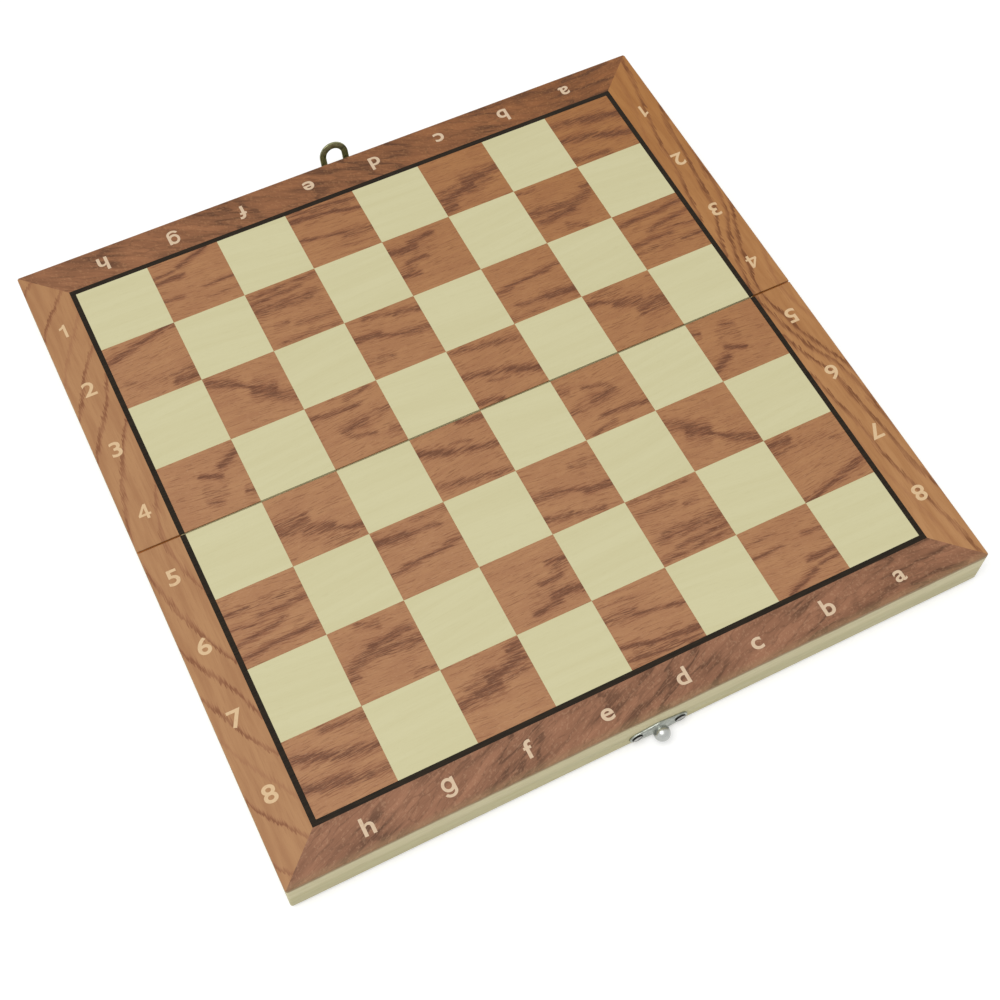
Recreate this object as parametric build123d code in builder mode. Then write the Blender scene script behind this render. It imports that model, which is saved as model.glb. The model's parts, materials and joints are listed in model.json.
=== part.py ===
from build123d import *
import math
import os

os.makedirs("parts", exist_ok=True)

# Folding chess set: two shallow wooden trays hinged rim to rim. Open, their floors make the board.
# Axes: X along the fold, Y from the catch side to the hasp side, Z up through the board.
# The origin is the middle of the fold, in the plane of the tray rims. All sizes in millimetres.

# Playing field
square = 31.4
line_width = 2.2
side_border = 17.2
end_border = 16.5
squares_across = 8
rows_each = 4

# Tray
rim_height = 16.0
rim_width = 8.0
panel_thickness = 3.0
veneer_thickness = 0.6
lining_thickness = 1.0
lining_clearance = 0.4
fold_gap = 0.8
corner_radius = 1.0
rim_easing = 0.8
inner_easing = 0.5
veneer_easing = 0.3

# Two butt hinges let into the rims at the fold
hinge_inset = 48.0
hinge_length = 25.0
hinge_leaf_thickness = 0.7
hinge_pin_radius = 0.55
hinge_play = 0.06
hinge_drop = 0.15
knuckle_count = 3
knuckle_gap = 0.2
leaf_corner_radius = 1.0
mortise_clearance = 0.1
groove_clearance = 0.2
leaf_screw_spacing = 14.0
leaf_margin = 0.85

# Countersunk screws of the hinges
flat_head_radius = 1.9
flat_screw_length = 9.0
flat_head_sink = 0.05

# Catch and hasp, a matched pair on the two end rims
latch_offset = 1.8
latch_height = 5.1
plate_thickness = 0.7
plate_middle_radius = 4.7
plate_lobe_radius = 3.1
plate_screw_spacing = 18.0

# Round-head screws of the catch and hasp
round_head_radius = 2.3
round_head_height = 0.9
round_screw_margin = 1.0

# Shared by both kinds of screw, which are drawn with flat sides to stay light
shank_radius = 0.95
screw_clearance = 0.05
screw_sides = 12

# Ball catch
dome_radius = 4.3
dome_top_radius = 2.9
dome_height = 0.8
ball_radius = 3.2
ball_stand_off = 3.0
stud_radius = 1.0
stud_tail = 0.3

# Hasp loop
loop_length = 19.0
loop_width = 13.2
loop_band = 2.85
loop_thickness = 1.0
loop_slot_start = 5.6
loop_shoulder = 2.5
loop_rest_angle = 76.0
hasp_pin_radius = 0.6
hasp_pin_overhang = 0.3
hasp_play = 0.06
hasp_barrel_length = 6.2
hasp_ear_length = 2.3
hasp_ear_gap = 0.15
hasp_window_height = 2.6
hasp_stand_off = 2.3

# What follows from the sizes above
field_half_width = squares_across * square / 2
field_depth = rows_each * square
line_half_width = field_half_width + line_width
line_depth = field_depth + line_width
half_width = line_half_width + side_border
half_depth = line_depth + end_border
fold_face = fold_gap / 2
panel_bottom = rim_height
veneer_bottom = rim_height + panel_thickness
board_top = veneer_bottom + veneer_thickness
hinge_x = half_width - hinge_inset
barrel_radius = hinge_pin_radius + hinge_play + hinge_leaf_thickness
plate_start = barrel_radius + knuckle_gap
hinge_leaf_width = fold_face + rim_width - leaf_margin
leaf_screw_offset = (plate_start + hinge_leaf_width) / 2
round_screw_length = rim_width - round_screw_margin
hasp_barrel_radius = hasp_pin_radius + hasp_play + plate_thickness
loop_arc_centre = loop_length - loop_width / 2
loop_slot_radius = loop_width / 2 - loop_band


def export(piece, label):
    piece.part.label = label
    export_step(piece.part, f"parts/{label}.step")


def tray_plan(side):
    # One half seen from above: square at the fold, rounded at the two outer corners
    with Locations((0, side * (fold_face + half_depth) / 2)):
        Rectangle(2 * half_width, half_depth - fold_face)
    fillet(vertices().group_by(Axis.Y)[-1 if side > 0 else 0], corner_radius)


def ring_points(side, x, near_fold, far_from_fold):
    # The four corners of a rectangle that lies on one half, named as seen from the fold
    return {
        "outer_left": (-x, side * far_from_fold),
        "outer_right": (x, side * far_from_fold),
        "fold_left": (-x, side * near_fold),
        "fold_right": (x, side * near_fold),
    }


def mitred_strip(side, place, outside, inside):
    # Cuts the tray's plan down to one strip whose ends run from the outside corners to the inside ones
    ends = {
        "outer": ("outer_left", "outer_right"),
        "fold": ("fold_left", "fold_right"),
        "left": ("outer_left", "fold_left"),
        "right": ("outer_right", "fold_right"),
    }[place]
    a, b = ends
    Polygon(outside[a], outside[b], inside[b], inside[a], align=None, mode=Mode.INTERSECT)


def screw(seat, outward, head, grow=0.0, mode=Mode.ADD):
    # A wood screw, or with grow the hole that clears it. Its head sits at the seat, its shank runs inwards
    sink = flat_head_sink if head == "flat" and grow == 0 else 0
    inward = Plane(origin=seat, x_dir=(1, 0, 0), z_dir=-Vector(*outward))
    with BuildSketch(inward.offset(sink)) as shank:
        RegularPolygon(shank_radius + grow, screw_sides, major_radius=False)
    if head == "flat":
        # The cone of the head ends where the leaf does, so the wood needs only a plain pilot hole
        fall = (flat_head_radius - shank_radius) / hinge_leaf_thickness
        with BuildSketch(inward.offset(sink)) as rim:
            RegularPolygon(flat_head_radius + grow - sink * fall, screw_sides, major_radius=False)
        slope = math.degrees(math.atan(fall))
        extrude(rim.sketch, amount=hinge_leaf_thickness - sink, taper=slope, mode=mode)
        extrude(shank.sketch, amount=flat_screw_length + grow, mode=mode)
    else:
        extrude(shank.sketch, amount=round_screw_length + grow, mode=mode)
        if grow == 0:
            extrude(shank.sketch, amount=-plate_thickness, mode=mode)
            with BuildSketch(inward.offset(-plate_thickness)) as crown:
                Circle(round_head_radius)
            extrude(crown.sketch, amount=-round_head_height, mode=mode)


def leaf_screw_seats(side, hinge):
    x = hinge * hinge_x
    return [(x + k * leaf_screw_spacing / 2, side * leaf_screw_offset, 0) for k in (-1, 1)]


def plate_screw_seats(side):
    return [(latch_offset + k * plate_screw_spacing / 2, side * half_depth, latch_height) for k in (-1, 1)]


def end_face(side):
    # The plane of an end rim's outer face, with local Z pointing out of the box and local Y up
    return Plane(
        origin=(latch_offset, side * half_depth, latch_height), x_dir=(-side, 0, 0), z_dir=(0, side, 0)
    )


def end_section(side):
    # A section plane through the catch or hasp: local X runs along the rim and local Y out of the box
    return Plane(
        origin=(latch_offset, side * half_depth, latch_height), x_dir=(1, 0, 0), z_dir=(0, 0, side)
    )


def latch_plate_outline():
    # A middle disc and two screw lobes, joined by straight tangents
    with BuildSketch(mode=Mode.PRIVATE) as discs:
        Circle(plate_middle_radius)
        with Locations((-plate_screw_spacing / 2, 0), (plate_screw_spacing / 2, 0)):
            Circle(plate_lobe_radius)
    make_hull(discs.edges())
    with Locations((-plate_screw_spacing / 2, 0), (plate_screw_spacing / 2, 0)):
        RegularPolygon(
            shank_radius + screw_clearance, screw_sides, major_radius=False, mode=Mode.SUBTRACT
        )


# The wooden tray of each half: four mitred rims, a panel, the lining and the veneers of the board
for side, half in ((-1, "near"), (1, "far")):
    outline = ring_points(side, half_width, fold_face, half_depth)
    hollow = ring_points(
        side, half_width - rim_width, fold_face + rim_width, half_depth - rim_width
    )

    for place in ("outer", "fold", "left", "right"):
        with BuildPart() as rim:
            with BuildSketch():
                tray_plan(side)
                mitred_strip(side, place, outline, hollow)
            extrude(amount=rim_height)

            # The long lower edges are eased, more on the outside than towards the hollow
            foot = rim.faces().sort_by(Axis.Z)[0].edges()
            across = Axis.Y if place in ("outer", "fold") else Axis.X
            lines = foot.filter_by(GeomType.LINE).filter_by(Axis.X if across == Axis.Y else Axis.Y)
            lines = lines.sort_by(across)
            outer_first = (place == "left") or (place == "outer" and side < 0) or (
                place == "fold" and side > 0
            )
            outer_line, inner_line = (lines[0], lines[-1]) if outer_first else (lines[-1], lines[0])
            inner_middle = inner_line.center()
            if place != "fold":
                corners = rim.edges().filter_by(GeomType.CIRCLE).group_by(Axis.Z)[0]
                chamfer([outer_line] + list(corners), rim_easing)
            inner_line = rim.edges().filter_by(lambda e: (e.center() - inner_middle).length < 1e-3)
            chamfer(inner_line, inner_easing)
            if place == "fold":
                for hinge in (-1, 1):
                    x = hinge * hinge_x
                    # Mortise for the leaf, then the groove that clears the knuckles
                    with BuildSketch():
                        with Locations((x, side * (hinge_leaf_width + mortise_clearance) / 2)):
                            Rectangle(
                                hinge_length + 2 * mortise_clearance, hinge_leaf_width + mortise_clearance
                            )
                    extrude(amount=hinge_leaf_thickness, mode=Mode.SUBTRACT)
                    groove = hinge_length + 2 * groove_clearance
                    with BuildSketch(Plane.YZ.offset(x - groove / 2)):
                        with Locations((0, -hinge_drop)):
                            Circle(barrel_radius + groove_clearance)
                    extrude(amount=groove, mode=Mode.SUBTRACT)
                    for seat in leaf_screw_seats(side, hinge):
                        screw(seat, (0, 0, -1), "flat", grow=screw_clearance, mode=Mode.SUBTRACT)
            if place == "outer":
                for seat in plate_screw_seats(side):
                    screw(seat, (0, side, 0), "round", grow=screw_clearance, mode=Mode.SUBTRACT)
        export(rim, f"{half}_{place}_rim")

    with BuildPart() as panel:
        with BuildSketch(Plane.XY.offset(panel_bottom)):
            tray_plan(side)
        extrude(amount=panel_thickness)
    export(panel, f"{half}_panel")

    with BuildPart() as lining:
        with BuildSketch(Plane.XY.offset(panel_bottom - lining_thickness)):
            with Locations((0, side * (fold_face + half_depth) / 2)):
                Rectangle(
                    2 * (half_width - rim_width - lining_clearance),
                    half_depth - fold_face - 2 * (rim_width + lining_clearance),
                )
        extrude(amount=lining_thickness)
    export(lining, f"{half}_lining")

    # The chequer: the half's rows count from the fold, and the row at the fold loses the saw cut
    for shade, parity in (("light", 0), ("dark", 1)):
        with BuildPart() as squares:
            with BuildSketch(Plane.XY.offset(veneer_bottom)):
                for row in range(rows_each):
                    low = max(row * square, fold_face)
                    high = (row + 1) * square
                    for column in range(squares_across):
                        if (row + column + (side > 0)) % 2 == parity:
                            x = (column + 0.5) * square - field_half_width
                            with Locations((x, side * (low + high) / 2)):
                                Rectangle(square, high - low)
            extrude(amount=veneer_thickness)
        export(squares, f"{half}_{shade}_squares")

    # The dark line round the field, open at the fold
    with BuildPart() as line:
        with BuildSketch(Plane.XY.offset(veneer_bottom)):
            with Locations((0, side * (fold_face + line_depth) / 2)):
                Rectangle(2 * line_half_width, line_depth - fold_face)
            with Locations((0, side * field_depth / 2)):
                Rectangle(2 * field_half_width, field_depth, mode=Mode.SUBTRACT)
        extrude(amount=veneer_thickness)
    export(line, f"{half}_line")

    # The border veneers, mitred from the corners of the line to the corners of the box
    inner = ring_points(side, line_half_width, fold_face, line_depth)
    for place, name in (("outer", "end"), ("left", "left"), ("right", "right")):
        with BuildPart() as border:
            with BuildSketch(Plane.XY.offset(veneer_bottom)):
                tray_plan(side)
                mitred_strip(side, place, outline, inner)
            extrude(amount=veneer_thickness)
            top = border.faces().sort_by(Axis.Z)[-1].edges()
            if place == "outer":
                straight = top.filter_by(Axis.X).sort_by(Axis.Y)[-1 if side > 0 else 0]
            else:
                straight = top.filter_by(Axis.Y).sort_by(Axis.X)[-1 if place == "right" else 0]
            chamfer([straight] + list(top.filter_by(GeomType.CIRCLE)), veneer_easing)
        export(border, f"{half}_{name}_border")


# Butt hinges: the near leaf carries the knuckles at both ends and holds the pin, the far leaf turns on it
def knuckle_spans(own):
    pitch = hinge_length / knuckle_count
    spans = []
    for k in range(knuckle_count):
        if k % 2 == own:
            low = k * pitch + (knuckle_gap / 2 if k > 0 else 0)
            high = (k + 1) * pitch - (knuckle_gap / 2 if k < knuckle_count - 1 else 0)
            spans.append((low - hinge_length / 2, high - hinge_length / 2))
    return spans


def hinge_leaf(side, hinge, own, bore):
    x = hinge * hinge_x
    with BuildPart() as leaf:
        with BuildSketch():
            with Locations((x, side * (plate_start + hinge_leaf_width) / 2)):
                Rectangle(hinge_length, hinge_leaf_width - plate_start)
            fillet(vertices().group_by(Axis.Y)[-1 if side > 0 else 0], leaf_corner_radius)
        extrude(amount=hinge_leaf_thickness)
        for low, high in knuckle_spans(own):
            with BuildSketch(Plane.YZ.offset(x + low)):
                with Locations((side * plate_start / 2, hinge_leaf_thickness / 2)):
                    Rectangle(plate_start, hinge_leaf_thickness)
                with Locations((0, -hinge_drop)):
                    Circle(barrel_radius)
                    Circle(bore, mode=Mode.SUBTRACT)
            extrude(amount=high - low)
        for seat in leaf_screw_seats(side, hinge):
            screw(seat, (0, 0, -1), "flat", grow=screw_clearance, mode=Mode.SUBTRACT)
    return leaf


for hinge, hand in ((-1, "left"), (1, "right")):
    export(hinge_leaf(-1, hinge, 0, hinge_pin_radius), f"{hand}_hinge_near_leaf")
    export(hinge_leaf(1, hinge, 1, hinge_pin_radius + hinge_play), f"{hand}_hinge_far_leaf")

    with BuildPart() as pin:
        start = hinge * hinge_x - hinge_length / 2
        with BuildSketch(Plane.YZ.offset(start)):
            with Locations((0, -hinge_drop)):
                Circle(hinge_pin_radius)
        extrude(amount=hinge_length)
    export(pin, f"{hand}_hinge_pin")

for side, half in ((-1, "near"), (1, "far")):
    with BuildPart() as hinge_screws:
        for hinge in (-1, 1):
            for seat in leaf_screw_seats(side, hinge):
                screw(seat, (0, 0, -1), "flat")
    export(hinge_screws, f"{half}_hinge_screws")

# Catch: a stamped plate with a raised dome, and a ball on a stud riveted through the dome
with BuildPart() as catch_plate:
    with BuildSketch(end_face(-1)):
        latch_plate_outline()
    extrude(amount=plate_thickness)
    with BuildSketch(end_section(-1)):
        with BuildLine():
            Polyline((0, plate_thickness), (dome_radius, plate_thickness),
                     (dome_top_radius, plate_thickness + dome_height),
                     (0, plate_thickness + dome_height), (0, plate_thickness))
        make_face()
    revolve(axis=Axis(end_face(-1).origin, end_face(-1).z_dir))
    # The back of the dome is hollow, because the dome is pressed out of the sheet
    with BuildSketch(end_section(-1)):
        with BuildLine():
            Polyline((0, 0), (dome_top_radius - plate_thickness / 2, 0),
                     (dome_top_radius - plate_thickness / 2, dome_height),
                     (stud_radius + screw_clearance, dome_height),
                     (stud_radius + screw_clearance, 2 * plate_thickness + dome_height),
                     (0, 2 * plate_thickness + dome_height), (0, 0))
        make_face()
    revolve(axis=Axis(end_face(-1).origin, end_face(-1).z_dir), mode=Mode.SUBTRACT)
export(catch_plate, "catch_plate")

with BuildPart() as catch_ball:
    seat = plate_thickness + dome_height
    with BuildSketch(end_section(-1)):
        with Locations((0, ball_stand_off)):
            Circle(ball_radius)
        with Locations((0, seat)):
            Rectangle(4 * ball_radius, 4 * ball_radius, align=(Align.CENTER, Align.MIN), mode=Mode.INTERSECT)
        with Locations((0, dome_height - stud_tail)):
            Rectangle(2 * stud_radius, seat - dome_height + stud_tail, align=(Align.CENTER, Align.MIN))
        # Half of the section, turned about the stud
        Rectangle(8 * ball_radius, 8 * ball_radius, align=(Align.MIN, Align.CENTER), mode=Mode.INTERSECT)
    revolve(axis=Axis(end_face(-1).origin, end_face(-1).z_dir))
export(catch_ball, "catch_ball")

# Hasp plate: two ears are cut from the sheet, bent out and rolled round the pin
with BuildPart() as hasp_plate:
    ear_start = hasp_barrel_length / 2 + hasp_ear_gap
    with BuildSketch(end_face(1)):
        latch_plate_outline()
        for hand in (-1, 1):
            with Locations((hand * (ear_start + hasp_ear_length / 2), plate_thickness - hasp_barrel_radius)):
                Rectangle(
                    hasp_ear_length + 2 * hasp_ear_gap,
                    hasp_barrel_radius - plate_thickness + hasp_window_height,
                    align=(Align.CENTER, Align.MIN),
                    mode=Mode.SUBTRACT,
                )
    extrude(amount=plate_thickness)
    for hand in (-1, 1):
        low = ear_start if hand > 0 else -ear_start - hasp_ear_length
        with BuildSketch(Plane.YZ.offset(latch_offset + low)):
            with Locations((half_depth, latch_height - hasp_barrel_radius)):
                Rectangle(hasp_stand_off, plate_thickness, align=(Align.MIN, Align.MIN))
            with Locations((half_depth + hasp_stand_off, latch_height)):
                Circle(hasp_barrel_radius)
                Circle(hasp_pin_radius, mode=Mode.SUBTRACT)
        extrude(amount=hasp_ear_length)
export(hasp_plate, "hasp_plate")

with BuildPart() as hasp_pin:
    reach = hasp_barrel_length / 2 + hasp_ear_gap + hasp_ear_length + hasp_pin_overhang
    with BuildSketch(Plane.YZ.offset(latch_offset - reach)):
        with Locations((half_depth + hasp_stand_off, latch_height)):
            Circle(hasp_pin_radius)
    extrude(amount=2 * reach)
export(hasp_pin, "hasp_pin")

# Hasp loop: a barrel on the pin, shoulders, two legs and a round end, standing up as it was left
with BuildPart() as hasp_loop:
    tilt = math.radians(loop_rest_angle)
    pivot = (latch_offset, half_depth + hasp_stand_off, latch_height)
    flat = Plane(origin=pivot, x_dir=(1, 0, 0), z_dir=(0, -math.sin(tilt), math.cos(tilt)))
    with BuildSketch(flat.offset(-loop_thickness / 2)):
        with Locations((0, loop_arc_centre)):
            Circle(loop_width / 2)
        with Locations((0, loop_shoulder)):
            Rectangle(loop_width, loop_arc_centre - loop_shoulder, align=(Align.CENTER, Align.MIN))
        fillet(vertices().group_by(Axis.Y)[0], loop_band / 2)
        Rectangle(hasp_barrel_length, loop_shoulder + loop_band / 2, align=(Align.CENTER, Align.MIN))
        with Locations((0, loop_arc_centre)):
            Circle(loop_slot_radius, mode=Mode.SUBTRACT)
        with Locations((0, (loop_slot_start + loop_arc_centre) / 2)):
            Rectangle(
                2 * loop_slot_radius, loop_arc_centre - loop_slot_start, mode=Mode.SUBTRACT
            )
    extrude(amount=loop_thickness)
    with BuildSketch(Plane.YZ.offset(latch_offset - hasp_barrel_length / 2)):
        with Locations(pivot[1:]):
            Circle(hasp_barrel_radius)
    extrude(amount=hasp_barrel_length)
    with BuildSketch(Plane.YZ.offset(latch_offset - hasp_barrel_length / 2)):
        with Locations(pivot[1:]):
            Circle(hasp_pin_radius + hasp_play)
    extrude(amount=hasp_barrel_length, mode=Mode.SUBTRACT)
export(hasp_loop, "hasp_loop")

for side, name in ((-1, "catch"), (1, "hasp")):
    with BuildPart() as plate_screws:
        for seat in plate_screw_seats(side):
            screw(seat, (0, side, 0), "round")
    export(plate_screws, f"{name}_screws")
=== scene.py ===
import json
import math
import random

import bmesh
import bpy
from mathutils import Matrix, Vector

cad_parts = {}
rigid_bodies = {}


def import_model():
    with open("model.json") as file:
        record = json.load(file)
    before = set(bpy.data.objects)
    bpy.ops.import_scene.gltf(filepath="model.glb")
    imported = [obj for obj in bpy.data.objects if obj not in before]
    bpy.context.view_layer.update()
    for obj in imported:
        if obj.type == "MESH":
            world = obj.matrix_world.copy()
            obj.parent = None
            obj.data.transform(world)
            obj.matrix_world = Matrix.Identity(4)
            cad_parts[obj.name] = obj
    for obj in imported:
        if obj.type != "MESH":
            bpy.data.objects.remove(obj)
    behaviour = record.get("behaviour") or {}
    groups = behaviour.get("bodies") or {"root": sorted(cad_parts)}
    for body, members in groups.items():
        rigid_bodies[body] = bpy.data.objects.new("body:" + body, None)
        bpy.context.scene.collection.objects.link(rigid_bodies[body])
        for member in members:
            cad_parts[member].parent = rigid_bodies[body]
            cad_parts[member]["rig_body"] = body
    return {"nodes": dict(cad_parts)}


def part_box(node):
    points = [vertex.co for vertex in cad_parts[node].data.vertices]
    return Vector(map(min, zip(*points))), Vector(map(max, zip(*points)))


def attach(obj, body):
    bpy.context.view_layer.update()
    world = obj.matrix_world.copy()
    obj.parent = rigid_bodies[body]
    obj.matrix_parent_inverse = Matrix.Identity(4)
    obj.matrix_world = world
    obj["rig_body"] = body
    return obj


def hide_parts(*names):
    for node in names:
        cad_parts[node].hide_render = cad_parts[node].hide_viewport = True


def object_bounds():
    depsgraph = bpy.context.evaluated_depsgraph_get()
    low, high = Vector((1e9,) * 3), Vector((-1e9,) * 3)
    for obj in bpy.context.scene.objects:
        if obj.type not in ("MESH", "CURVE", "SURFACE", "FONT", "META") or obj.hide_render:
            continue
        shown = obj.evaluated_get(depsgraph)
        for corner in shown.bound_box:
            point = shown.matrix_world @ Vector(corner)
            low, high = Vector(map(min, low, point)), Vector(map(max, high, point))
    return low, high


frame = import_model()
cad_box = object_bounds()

# Folding chess set: the finishes, the printed figures and the small metalwork, laid over the CAD model.
# Everything is in metres in the CAD frame; MM turns a size in millimetres into metres.
MM = 0.001
SQUARE = 31.4 * MM
FIELD = 4 * SQUARE
LINE_EDGE = FIELD + 2.2 * MM
BOARD_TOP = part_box("near_light_squares")[1].z
VENEER_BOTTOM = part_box("near_light_squares")[0].z
HALF_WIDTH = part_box("near_panel")[1].x
HALF_DEPTH = -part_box("near_panel")[0].y
HALVES = (("near", -1), ("far", 1))
# How far the squares stop short of the hinge line
FOLD_FACE = 0.4 * MM


# ---- Colour and shader helpers -------------------------------------------------------------------

def tone(red, green, blue):
    # A paint-box colour from 0 to 255, as the shader wants it
    def straight(value):
        value /= 255
        return value / 12.92 if value <= 0.04045 else ((value + 0.055) / 1.055) ** 2.4
    return (straight(red), straight(green), straight(blue), 1.0)


class Sheet:
    # Lays out shader nodes: a call makes its nodes and returns the socket, sockets or node asked for
    def __init__(self, tree):
        self.tree = tree

    def link(self, value, socket):
        self.tree.links.new(value, socket)

    def fill(self, made, inputs):
        for key, value in inputs.items():
            if isinstance(value, bpy.types.NodeSocket):
                self.link(value, made.inputs[key])
            else:
                made.inputs[key].default_value = value
        return made

    def node(self, kind, inputs=None, **settings):
        made = self.tree.nodes.new("ShaderNode" + kind)
        for name, value in settings.items():
            setattr(made, name, value)
        return self.fill(made, inputs or {})

    def use(self, inner, inputs):
        return self.fill(self.node("Group", node_tree=inner), inputs).outputs

    def math(self, operation, a, b=0.0):
        return self.node("Math", {0: a, 1: b}, operation=operation).outputs[0]

    def plus(self, a, b):
        return self.math("ADD", a, b)

    def minus(self, a, b):
        return self.math("SUBTRACT", a, b)

    def times(self, a, b):
        return self.math("MULTIPLY", a, b)

    def over(self, a, b):
        return self.math("DIVIDE", a, b)

    def larger(self, a, b):
        return self.math("MAXIMUM", a, b)

    def unsigned(self, a):
        return self.math("ABSOLUTE", a)

    def spread(self, value, low, high, out_low=0.0, out_high=1.0, smooth=True):
        # Opens the part of a value between low and high to the full range
        made = self.node("MapRange", {0: value, 1: low, 2: high, 3: out_low, 4: out_high},
                         interpolation_type="SMOOTHSTEP" if smooth else "LINEAR")
        return made.outputs[0]

    def blend(self, share, first, second, mode="MIX"):
        made = self.node("Mix", {0: share, 6: first, 7: second}, data_type="RGBA", blend_type=mode)
        return made.outputs[2]

    def tint(self, colour, mask, strength, shade):
        # Lays a shade over the colour where the mask is up
        return self.blend(self.times(mask, strength), colour, shade)

    def noise(self, vector, scale=1.0, detail=2.0, roughness=0.5):
        made = self.node("TexNoise", {"Vector": vector, "Scale": scale, "Detail": detail,
                                      "Roughness": roughness})
        return made.outputs["Fac"]

    def split(self, vector):
        return self.node("SeparateXYZ", {0: vector}).outputs

    def join(self, x, y, z):
        return self.node("CombineXYZ", {0: x, 1: y, 2: z}).outputs[0]

    def place(self):
        return self.node("TexCoord").outputs["Object"]

    def attribute(self, name):
        return self.node("Attribute", attribute_name=name).outputs

    def seen(self):
        # True for what the camera sees, straight or in a mirror
        path = self.node("LightPath").outputs
        return self.larger(path["Is Camera Ray"], path["Is Glossy Ray"])


def group(name, takes, gives):
    # A node group: its tree and sheet, and the sockets at its inner ends
    tree = bpy.data.node_groups.new(name, "ShaderNodeTree")
    for way, sockets in (("INPUT", takes), ("OUTPUT", gives)):
        for socket, kind in sockets:
            tree.interface.new_socket(socket, in_out=way, socket_type="NodeSocket" + kind)
    inside = tree.nodes.new("NodeGroupInput").outputs
    outside = tree.nodes.new("NodeGroupOutput").inputs
    return tree, Sheet(tree), inside, outside


def blank_material(name):
    material = bpy.data.materials.new(name)
    material.use_nodes = True
    material.node_tree.nodes.clear()
    return material, Sheet(material.node_tree)


def finish(name, base, roughness, specular, **values):
    # A material with its shader, whose sockets the caller may link
    material, sheet = blank_material(name)
    shader = sheet.node("BsdfPrincipled", {"Base Color": base, "Roughness": roughness,
                                           "Specular IOR Level": specular, **values})
    sheet.node("OutputMaterial", {0: shader.outputs[0]})
    material.diffuse_color = base
    return material, sheet, shader.inputs


def bump(sheet, sockets, height, depth, strength):
    # Relief of a depth in mm
    made = sheet.node("Bump", {"Height": height, "Distance": depth * MM, "Strength": strength})
    sheet.link(made.outputs[0], sockets["Normal"])


# ---- Wood finishes -------------------------------------------------------------------------------

def wood_grain():
    # Fibres that run along X: streaks and bands from 0 to 1, and a mask of the open pores
    tree, sheet, take, give = group(
        "wood_grain",
        [("Vector", "Vector"), ("Length mm", "Float"), ("Width mm", "Float"), ("Waver mm", "Float"),
         ("Seed", "Float")],
        [("Streaks", "Float"), ("Bands", "Float"), ("Pores", "Float")],
    )
    x, y, z = (sheet.over(c, MM) for c in sheet.split(take["Vector"]))
    length, width, seed = take["Length mm"], take["Width mm"], take["Seed"]
    # Each seed cuts its grain from another depth
    depth = sheet.plus(z, sheet.times(seed, 31.7))

    def stretched(aside, along, across, detail, roughness):
        run, wide = sheet.over(x, sheet.times(length, along)), sheet.times(width, across)
        point = sheet.join(run, sheet.over(aside, wide), sheet.over(depth, wide))
        return sheet.noise(point, detail=detail, roughness=roughness)

    sway = sheet.minus(stretched(y, along=3.0, across=16.0, detail=1.0, roughness=0.5), 0.5)
    swayed = sheet.plus(y, sheet.times(sway, take["Waver mm"]))
    streaks = stretched(swayed, along=1.0, across=1.0, detail=2.0, roughness=0.6)
    bands = stretched(swayed, along=4.0, across=6.0, detail=3.0, roughness=0.55)
    pores = stretched(swayed, along=0.22, across=0.55, detail=0.0, roughness=0.5)
    sheet.link(sheet.spread(streaks, 0.28, 0.72), give["Streaks"])
    sheet.link(sheet.spread(bands, 0.3, 0.7), give["Bands"])
    sheet.link(sheet.spread(pores, 0.64, 0.76), give["Pores"])
    return tree


def deeper_stain():
    # Painted shade: colours are painted darker and browner towards the far right corner
    tree, sheet, take, give = group("deeper_stain", [("Color", "Color"), ("Vector", "Vector")],
                                    [("Color", "Color")])
    x, y = sheet.split(take["Vector"])[:2]
    share = sheet.math("POWER", sheet.spread(sheet.plus(x, y), -0.10, 0.25, smooth=False), 1.3)
    sheet.link(sheet.blend(share, take["Color"], (0.84, 0.71, 0.45, 1), "MULTIPLY"), give["Color"])
    return tree


GRAIN = wood_grain()
CORNER_SHADE_GROUP = deeper_stain()


def fibres(sheet, vector, length, width, waver, seed):
    # The grain with the length, width and waver of its fibres in mm
    return sheet.use(GRAIN, {"Vector": vector, "Length mm": length, "Width mm": width,
                             "Waver mm": waver, "Seed": seed})


# Lays the painted shade of the far right corner over a colour
def stained(sheet, colour):
    return sheet.use(CORNER_SHADE_GROUP, {"Color": colour, "Vector": sheet.place()})["Color"]


def lay(sheet, sockets, colour, grain, smoothest, roughest):
    # Gives a wood its colour, and a sheen that follows the streaks
    sheet.link(colour, sockets["Base Color"])
    sheet.link(sheet.spread(grain["Streaks"], 0, 1, smoothest, roughest), sockets["Roughness"])


def pale_wood(name, turn, seed):
    # Pale close-grained wood whose fibres are turned to run along the rim
    light, dark = tone(214, 205, 167), tone(198, 187, 146)
    material, sheet, sockets = finish(name, light, roughness=0.55, specular=0.25)
    place = sheet.place()
    turned = sheet.node("Mapping", {"Vector": place, "Rotation": (0, 0, math.radians(turn))}).outputs[0]
    grain = fibres(sheet, turned, length=26.0, width=0.7, waver=3.0, seed=seed)
    share = sheet.plus(sheet.times(grain["Bands"], 0.4), sheet.times(grain["Streaks"], 0.25))
    colour = sheet.blend(share, light, dark)
    # Painted shade: the lower part of the rim is painted a little darker and greener, with a border that
    # drifts along the edge
    drift = sheet.times(sheet.noise(place, scale=14.0, detail=1.0), 2.0 * MM)
    height = sheet.plus(sheet.split(place)[2], drift)
    shaded_lower = sheet.spread(height, 8.0 * MM, 13.0 * MM, 1.0, 0.0)
    colour = sheet.blend(shaded_lower, colour, tone(240, 241, 232), "MULTIPLY")
    colour = sheet.tint(colour, grain["Pores"], 0.25, tone(160, 142, 102))
    lay(sheet, sockets, colour, grain, smoothest=0.48, roughest=0.64)
    bump(sheet, sockets, sheet.minus(grain["Streaks"], grain["Pores"]), depth=0.05, strength=0.4)
    return material


# Heights of the panel's middle ply, and the heights over which the painted shade below the veneer grows
# to its full strength on the outer edge and in the fold; what lies within the skin counts as the outer
# edge
MIDDLE_PLY = (17.0 * MM, 18.0 * MM)
EDGE_SHADE = (17.1 * MM, 19.3 * MM)
FOLD_SHADE = (17.2 * MM, 18.2 * MM)
OUTER_SKIN = 0.4 * MM


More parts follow.
